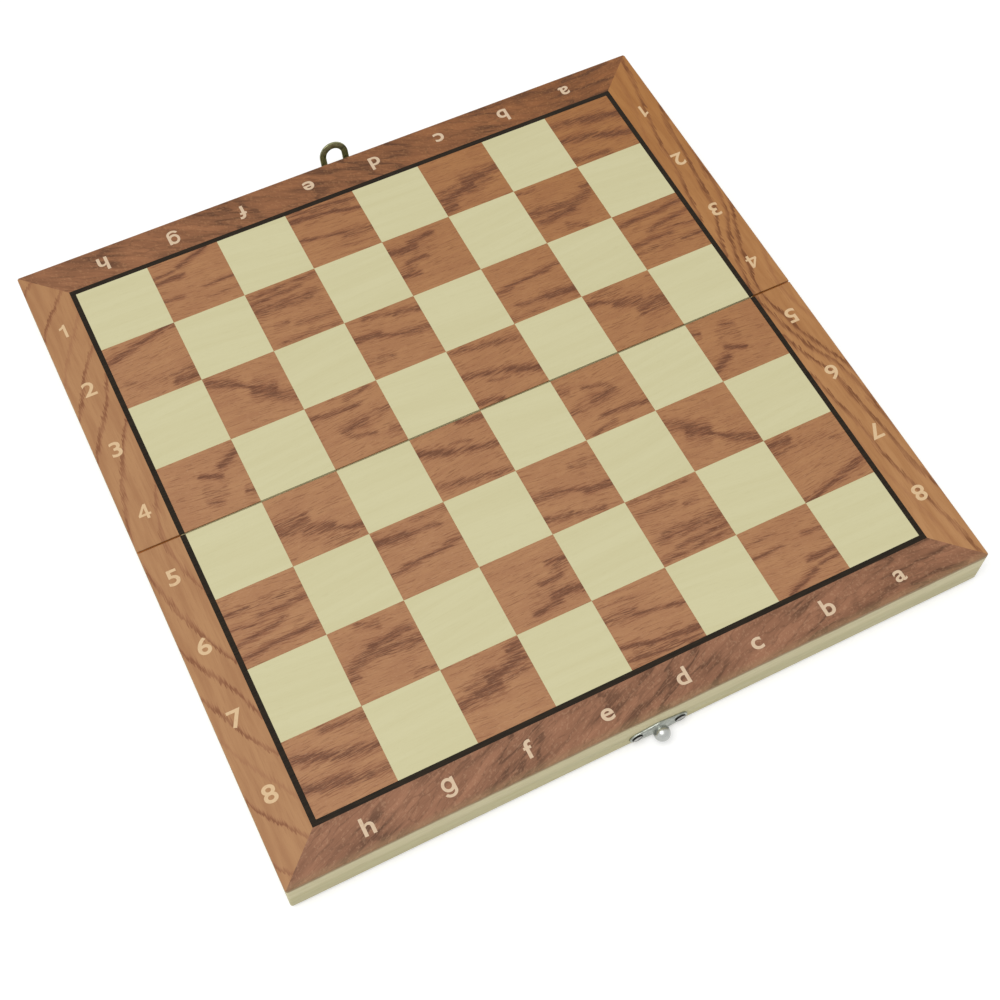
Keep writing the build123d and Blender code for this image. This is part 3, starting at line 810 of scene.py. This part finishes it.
def built_in(character):
    # A letter or figure of the built-in font, as a thin solid
    curve = bpy.data.curves.new("glyph", "FONT")
    curve.body = character
    curve.size = LETTER_SIZE
    curve.offset = LETTER_BOLDER
    curve.extrude = PRINT_DEPTH / 2
    curve.resolution_u = 6
    holder = stand("glyph", curve)
    bpy.context.view_layer.update()
    shape = bmesh.new()
    shape.from_mesh(holder.evaluated_get(bpy.context.evaluated_depsgraph_get()).to_mesh())
    bpy.data.objects.remove(holder)
    bpy.data.curves.remove(curve)
    bmesh.ops.remove_doubles(shape, verts=shape.verts, dist=1e-7)
    bmesh.ops.scale(shape, vec=(LETTER_WIDEN, 1, 1), verts=shape.verts)
    return shape


DRAWN = {"1": digit_one, "4": digit_four, "g": letter_g}


def lettering(half, side):
    # Letters along the end and figures down both sides, upright to the player at the near end
    # and turned half round along the far end and the right side
    whole = bmesh.new()

    def put(character, x, y, upside_down, foot=False):
        shape = DRAWN[character]() if character in DRAWN else built_in(character)
        low, high = (Vector([pick(v.co[i] for v in shape.verts) for i in range(3)])
                     for pick in (min, max))
        middle = (low + high) / 2
        base = low.y if foot else middle.y
        bmesh.ops.translate(shape, verts=shape.verts, vec=(-middle.x, -base, -low.z))
        if upside_down:
            spin(shape, math.pi)
        bmesh.ops.translate(shape, verts=shape.verts, vec=(x, y, BOARD_TOP - PRINT_SUNK))
        pour(shape, whole)

    for column, letter in enumerate("hgfedcba"):
        x = (column + 0.5) * SQUARE - FIELD + (NEAR_SHIFT if side < 0 else 0)
        foot = LETTER_FOOT + (G_DROP if letter == "g" else 0)
        put(letter, x, side * foot, side > 0, foot=True)
    aside = (LINE_EDGE + HALF_WIDTH) / 2
    for row in range(4):
        digit = str(5 + row if side < 0 else 4 - row)
        for x in (-aside, aside):
            put(digit, x, side * (row + 0.5) * SQUARE, x > 0)
    new_piece(f"{half}_lettering", whole, f"{half}_half", "ink")


# ---- Screws and ball -----------------------------------------------------------------------------

# Outlines of the two kinds of screw as (radius, height) from the tip to the crown, in mm
ROUND_SCREW = ([(0, -6.8), (0.5, -6.8), (0.94, -6.0), (0.94, 0.0), (2.05, 0.0)]
               + arc((0, 0.12), 2.25, 0.76, 2, 90, steps=10)[:-1] + [(0, 0.88)])
FLAT_SCREW = [(0, -8.9), (0.5, -8.9), (0.94, -8.0), (0.94, -0.68), (1.86, -0.07), (1.8, -0.05),
              (0, -0.05)]
# Their slots: lowest height of the crown cut, width, half length and depth in mm; widest turn in degrees
ROUND_SLOT = (0.5, 0.7, 1.75, 0.3, 40)
FLAT_SLOT = (-0.06, 0.5, 1.35, 0.35, 80)
# Painted shade lies round the foot of a round head, beyond this radius in mm
SHADE_RING_RADIUS = 1.9
# The ball's stud in mm: its radius, and its height above the rim where the ball begins
STUD_RADIUS = 1.0
STUD_TOP = 1.5
# From a side of the board to the middle of the hinge
HINGE_INSET = 48.0 * MM
# The flat part of a hinge leaf, from the hinge line, in mm
LEAF_START, LEAF_END = 1.51, 7.55
# Between the two screws of a leaf, and of a catch or hasp plate
LEAF_SPACING = 14.0 * MM
PLATE_SPACING = 18.0 * MM
PLATE_THICKNESS = 0.7 * MM


def upright(outward, seat):
    # Turns a piece made on the XY plane, top up, to stand on a seat with its top outwards
    turn = Vector((0, 0, 1)).rotation_difference(Vector(outward)).to_matrix().to_4x4()
    return Matrix.Translation(seat) @ turn


def turned_profile(profile, steps=32):
    # A solid of revolution about Z from a profile of (radius, height) in millimetres
    shape = bmesh.new()
    verts = [shape.verts.new((r * MM, 0, h * MM)) for r, h in profile]
    edges = [shape.edges.new(pair) for pair in zip(verts, verts[1:])]
    bmesh.ops.spin(shape, geom=verts + edges, axis=(0, 0, 1), cent=(0, 0, 0), angle=2 * math.pi,
                   steps=steps, use_merge=True)
    bmesh.ops.remove_doubles(shape, verts=shape.verts, dist=1e-6)
    return shape


def slotted(shape, top, wide, reach, depth, turn):
    # Presses a straight slot into the crown of a screw, with painted shade marked on its floor
    shape.verts.layers.float.new("recess_shade")
    for axis, limit in ((Vector((0, 1, 0)), wide / 2), (Vector((1, 0, 0)), reach)):
        for way in (-1, 1):
            whole = shape.verts[:] + shape.edges[:] + shape.faces[:]
            bmesh.ops.bisect_plane(shape, geom=whole, dist=1e-7, plane_co=axis * way * limit * MM,
                                   plane_no=axis)

    def within(face):
        x, y, z = face.calc_center_median() / MM
        return z > top and abs(y) < wide / 2 and abs(x) < reach

    inside = [f for f in shape.faces if within(f)]
    made = bmesh.ops.extrude_face_region(shape, geom=inside)["geom"]
    bmesh.ops.delete(shape, geom=inside, context="FACES_ONLY")
    floor_verts = [v for v in made if isinstance(v, bmesh.types.BMVert)]
    level = min(v.co.z for v in floor_verts) - depth * MM
    recess_shade = shape.verts.layers.float["recess_shade"]
    for vert in floor_verts:
        vert.co.z = level
        vert[recess_shade] = 1.0
    spin(shape, math.radians(turn))
    return shape


def screws(node, body, seats, outward, head):
    # All the screws of one kind in one body, each with its slot at its own angle
    name = f"{node}_slotted"
    profile, slot = (ROUND_SCREW, ROUND_SLOT) if head == "round" else (FLAT_SCREW, FLAT_SLOT)
    *cut, swing = slot
    chance = random.Random(len(name))
    whole = bmesh.new()
    whole.verts.layers.float.new("recess_shade")
    for seat in seats:
        shape = slotted(turned_profile(profile), *cut, chance.uniform(-swing, swing))
        if head == "round":
            recess_shade = shape.verts.layers.float["recess_shade"]
            for vert in shape.verts:
                if vert.co.xy.length > SHADE_RING_RADIUS * MM:
                    vert[recess_shade] = 1.0
        bmesh.ops.transform(shape, matrix=upright(outward, seat), verts=shape.verts)
        pour(shape, whole)
    smooth(new_piece(name, whole, body, "screw", [node]))


def ball():
    # The ball of the catch on its stud, turned in one piece; heights are above the rim's face
    low, high = (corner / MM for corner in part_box("catch_ball"))
    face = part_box("near_outer_rim")[0].y / MM
    radius = (high.x - low.x) / 2
    foot, middle = face - high.y, face - low.y - radius
    start = math.degrees(math.acos((middle - STUD_TOP) / radius)) - 90
    sphere = arc((0, middle), radius, radius, start, 90, steps=40)
    profile = [(0, foot), (STUD_RADIUS, foot), (STUD_RADIUS, STUD_TOP)] + sphere[:-1]
    shape = turned_profile(profile + [(0, middle + radius)], steps=48)
    seat = Vector(((low.x + high.x) / 2, face, (low.z + high.z) / 2)) * MM
    bmesh.ops.transform(shape, matrix=upright((0, -1, 0), seat), verts=shape.verts)
    smooth(new_piece("catch_ball_turned", shape, "near_half", "ball", ["catch_ball"]))


# ---- Build ---------------------------------------------------------------------------------------

for half, side in HALVES:
    for place, along in (("outer", "along"), ("fold", "along"), ("left", "across"), ("right", "across")):
        eased(f"{half}_{place}_rim", f"rim_{along}", rounding=0.06)
    eased(f"{half}_panel", "panel", rounding=0.05)
    squares(half, side, "light", parity=0)
    squares(half, side, "dark", parity=1)
    lettering(half, side)
    for place in ("end", "left", "right"):
        dress(frame["nodes"][f"{half}_{place}_border"], f"{place}_border")
    dress(frame["nodes"][f"{half}_line"], "line")
    eased(f"{half}_lining", "felt", rounding=0.3, segments=3, ending="soft")
    out = side * (LEAF_START + LEAF_END) / 2 * MM
    seats = [(hand * (HALF_WIDTH - HINGE_INSET) + k * LEAF_SPACING / 2, out, 0)
             for hand in (-1, 1) for k in (-1, 1)]
    screws(f"{half}_hinge_screws", f"{half}_half", seats, (0, 0, -1), "flat")

for hand in ("left", "right"):
    for place in ("near_leaf", "far_leaf", "pin"):
        eased(f"{hand}_hinge_{place}", "hinge", rounding=0.07)
eased("catch_plate", "catch", rounding=0.12)
ball()
eased("hasp_plate", "hasp", rounding=0.12)
eased("hasp_pin", "hasp", rounding=0.12)
eased("hasp_loop", "hasp", rounding=0.25, segments=3)
for name, (half, side) in zip(("catch_screws", "hasp_screws"), HALVES):
    low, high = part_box(name)
    centre = (low + high) / 2
    out = side * (HALF_DEPTH + PLATE_THICKNESS)
    seats = [(centre.x + k * PLATE_SPACING / 2, out, centre.z) for k in (-1, 1)]
    screws(name, f"{half}_half", seats, (0, side, 0), "round")


# ---- Floor, light and camera ---------------------------------------------------------------------

WHITE = (1, 1, 1, 1)
FLOOR_GREY = (0.8, 0.8, 0.8, 1)
FLOOR_REACH = 6.0
# Between the floor and the lowest point of the object
FLOOR_GAP = 0.05 * MM
# The floor's glow near the object, and where it turns pure white, so that no horizon shows
FLOOR_GLOW = 0.3
GLOW_START, GLOW_END = 0.5, 1.6
WORLD_STRENGTH = 0.5
CAMERA_PLACE = (-0.14886, -0.30424, 0.55195)
CAMERA_TURN = (29.2002, -0.4954, -26.6419)
SENSOR_WIDTH, LENS = 36.0, 56.735


def floor():
    material, sheet = blank_material("studio_floor")
    place = sheet.place()
    x, y, z = (sheet.unsigned(c) for c in sheet.split(place))
    away = sheet.node("VectorMath", {0: place}, operation="LENGTH").outputs["Value"]
    # It stays dark where it is seen through the gap of the fold, unless it is lowered below the board
    lit = sheet.larger(sheet.spread(y, 1.2 * MM, 2.0 * MM),
                       sheet.spread(x, HALF_WIDTH - 2.0 * MM, HALF_WIDTH))
    lit = sheet.larger(lit, sheet.spread(z, 1.0 * MM, 2.0 * MM))
    strength = sheet.times(sheet.spread(away, GLOW_START, GLOW_END, FLOOR_GLOW, 1.0), lit)
    glow = sheet.node("Emission", {"Color": WHITE, "Strength": sheet.times(sheet.seen(), strength)})
    pale = sheet.node("BsdfDiffuse", {"Color": FLOOR_GREY})
    both = sheet.node("AddShader", {0: pale.outputs[0], 1: glow.outputs[0]})
    sheet.node("OutputMaterial", {0: both.outputs[0]})
    shape = bmesh.new()
    bmesh.ops.create_grid(shape, x_segments=1, y_segments=1, size=FLOOR_REACH)
    made = stand("studio_floor", cast("studio_floor", shape))
    made.data.materials.append(material)
    made.location.z = cad_box[0].z - FLOOR_GAP
    return made


def lowered(ground, pieces):
    # The floor drops to the lowest point of the pieces that swing down, so that none sinks into it
    tree = bpy.data.node_groups.new("floor_level", "GeometryNodeTree")
    for way in ("INPUT", "OUTPUT"):
        tree.interface.new_socket("Geometry", in_out=way, socket_type="NodeSocketGeometry")
    sheet = Sheet(tree)
    level = 0.0
    for piece in pieces:
        shown = tree.nodes.new("GeometryNodeObjectInfo")
        shown.transform_space = "RELATIVE"
        shown.inputs["Object"].default_value = piece
        bounds = tree.nodes.new("GeometryNodeBoundBox")
        sheet.link(shown.outputs["Geometry"], bounds.inputs[0])
        lowest = sheet.minus(sheet.split(bounds.outputs["Min"])[2], FLOOR_GAP)
        level = sheet.math("MINIMUM", level, lowest)
    moved = tree.nodes.new("GeometryNodeSetPosition")
    sheet.link(tree.nodes.new("NodeGroupInput").outputs[0], moved.inputs["Geometry"])
    sheet.link(sheet.join(0.0, 0.0, level), moved.inputs["Offset"])
    sheet.link(moved.outputs[0], tree.nodes.new("NodeGroupOutput").inputs[0])
    ground.modifiers.new("floor_level", "NODES").node_group = tree


def lamp(name, place, aim, size, watts):
    light = bpy.data.lights.new(name, "AREA")
    light.shape, light.size, light.energy = "DISK", size, watts
    holder = stand(name, light)
    holder.location = place
    holder.rotation_euler = (Vector(aim) - Vector(place)).to_track_quat("-Z", "Y").to_euler()


def world():
    # White where it is seen, and dimmer as a light
    made = bpy.data.worlds.new("studio")
    made.use_nodes = True
    sheet = Sheet(made.node_tree)
    strength = sheet.spread(sheet.seen(), 0, 1, WORLD_STRENGTH, 1.0)
    sheet.fill(made.node_tree.nodes["Background"], {"Color": WHITE, "Strength": strength})
    bpy.context.scene.world = made


def camera():
    data = bpy.data.cameras.new("camera")
    data.sensor_width, data.lens = SENSOR_WIDTH, LENS
    data.clip_start, data.clip_end = 0.01, 50.0
    holder = stand("camera", data)
    holder.location = CAMERA_PLACE
    holder.rotation_euler = [math.radians(a) for a in CAMERA_TURN]
    bpy.context.scene.camera = holder


lowered(floor(), [frame["nodes"]["far_end_border"], bpy.data.objects["hasp_loop_eased"]])
world()
lamp("key", place=(-0.9, -0.6, 3.0), aim=(0, 0, 0), size=2.0, watts=58.0)
camera()
bpy.context.scene.view_settings.view_transform = "Standard"
